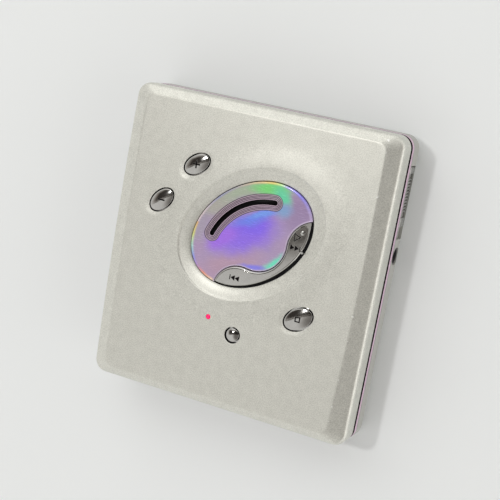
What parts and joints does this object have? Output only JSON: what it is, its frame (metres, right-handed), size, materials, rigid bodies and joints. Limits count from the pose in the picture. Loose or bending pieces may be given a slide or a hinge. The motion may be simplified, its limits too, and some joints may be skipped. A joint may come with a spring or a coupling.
{
  "type": "portable minidisc player",
  "caption": "Pocket disc player: a rounded hinged lid with an oval control badge and push buttons, over a drive, battery bay and headphone jack.",
  "frame": {"origin": "middle of the flat back, which is z = 0", "axes": "+Z out of the front with the buttons, +Y up the face to the end with the two dimples, +X to the side with the opening slider and the headphone jack; the player lies on its back"},
  "size_m": [0.0734, 0.0782, 0.016],
  "materials": {
    "silver_paint": "satin silver paint with a fine flake",
    "iridescent_film": "glossy film that shifts from violet to green and orange",
    "black_window": "glossy black",
    "chrome_plate": "mirror-bright plating",
    "indicator_red": "translucent red",
    "lamp_white": "small moulded package",
    "lavender_paint": "satin lavender paint",
    "grey_plastic": "fine matt grey",
    "dark_plastic": "moulded black",
    "sheet_steel": "pressed steel sheet",
    "motor_can": "drawn steel can",
    "magnet": "dark plated magnet",
    "circuit_board": "green solder mask",
    "contact_gold": "gold-plated spring metal",
    "optic_glass": "coated glass",
    "cell_sleeve": "plain green sleeve round a steel can"
  },
  "bodies": {
    "base": {"mid_frame": "lavender_paint", "back_cover": "grey_plastic", "chassis": "sheet_steel", "hinge_pins": "sheet_steel", "main_board": "circuit_board", "board_chips": "dark_plastic", "spindle_motor": "motor_can", "guide_rods": "sheet_steel", "feed_motor": "motor_can", "headphone_jack": "dark_plastic", "jack_contacts": "contact_gold", "hold_switch": "dark_plastic", "battery": "cell_sleeve", "battery_contacts": "contact_gold", "door_pin": "sheet_steel", "case_screws": "sheet_steel"},
    "lid": {"front_cover": "silver_paint", "badge_plate": "iridescent_film", "window_lens": "black_window", "indicator_lens": "indicator_red", "indicator_lamp": "lamp_white", "key_board": "circuit_board", "switch_domes": "sheet_steel", "lid_hinge_plate": "sheet_steel", "lid_screws": "sheet_steel"},
    "holder": {"disc_holder": "sheet_steel"},
    "control_key": {"control_key": "chrome_plate"},
    "volume_up_button": {"volume_up_button": "chrome_plate"},
    "volume_down_button": {"volume_down_button": "chrome_plate"},
    "stop_button": {"stop_button": "chrome_plate"},
    "mode_button": {"mode_button": "chrome_plate"},
    "turntable": {"turntable": "sheet_steel", "clamp_magnet": "magnet"},
    "pickup": {"pickup_sled": "dark_plastic", "lens_actuator": "dark_plastic", "objective_lens": "optic_glass"},
    "feed_screw": {"feed_screw": "sheet_steel"},
    "open_slider": {"open_slider": "chrome_plate", "latch_plate": "sheet_steel", "latch_spring": "sheet_steel"},
    "hold_knob": {"hold_knob": "dark_plastic"},
    "battery_door": {"battery_door": "grey_plastic", "door_contact": "contact_gold"}
  },
  "joints": [
    {"name": "lid_hinge", "type": "hinge", "parent": "base", "child": "lid", "pos_m": [-0.0336, 0, 0.012], "axis": [0, -1, 0], "range_deg": [0, 30]},
    {"name": "holder_hinge", "type": "hinge", "parent": "base", "child": "holder", "pos_m": [-0.0336, 0, 0.012], "axis": [0, -1, 0], "range_deg": [0, 13.5]},
    {"name": "control_key_rock", "type": "hinge", "parent": "lid", "child": "control_key", "pos_m": [0.0102, -0.00075, 0.01445], "axis": [0.6293, -0.7771, 0], "range_deg": [-0.9, 0.9], "stiffness_Nm_per_rad": 0.02},
    {"name": "volume_up_button_press", "type": "slide", "parent": "lid", "child": "volume_up_button", "axis": [0, 0, -1], "range_m": [0, 0.0002], "stiffness_N_per_m": 400},
    {"name": "volume_down_button_press", "type": "slide", "parent": "lid", "child": "volume_down_button", "axis": [0, 0, -1], "range_m": [0, 0.0002], "stiffness_N_per_m": 400},
    {"name": "stop_button_press", "type": "slide", "parent": "lid", "child": "stop_button", "axis": [0, 0, -1], "range_m": [0, 0.0002], "stiffness_N_per_m": 400},
    {"name": "mode_button_press", "type": "slide", "parent": "lid", "child": "mode_button", "axis": [0, 0, -1], "range_m": [0, 0.0002], "stiffness_N_per_m": 400},
    {"name": "turntable_spin", "type": "hinge", "parent": "base", "child": "turntable", "pos_m": [0.0014, 0, 0.007], "axis": [0, 0, 1], "continuous": true},
    {"name": "pickup_slide", "type": "slide", "parent": "base", "child": "pickup", "axis": [0, -1, 0], "range_m": [0, 0.011]},
    {"name": "feed_screw_turn", "type": "hinge", "parent": "base", "child": "feed_screw", "pos_m": [0.0182, -0.02, 0.0046], "axis": [0, 1, 0], "range_deg": [0, 2641]},
    {"name": "open_slider_slide", "type": "slide", "parent": "base", "child": "open_slider", "axis": [0, -1, 0], "range_m": [0, 0.0025], "stiffness_N_per_m": 150, "deforming": ["latch_spring"]},
    {"name": "hold_knob_slide", "type": "slide", "parent": "base", "child": "hold_knob", "axis": [1, 0, 0], "range_m": [0, 0.002]},
    {"name": "battery_door_hinge", "type": "hinge", "parent": "base", "child": "battery_door", "pos_m": [-0.0333, -0.0382, 0.004], "axis": [0, 0, -1], "range_deg": [0, 95]}
  ],
  "couplings": [
    {"joint": "holder_hinge", "follows": "lid_hinge", "ratio": 0.45},
    {"joint": "feed_screw_turn", "follows": "pickup_slide", "rad_per_m": 4188.8}
  ]
}
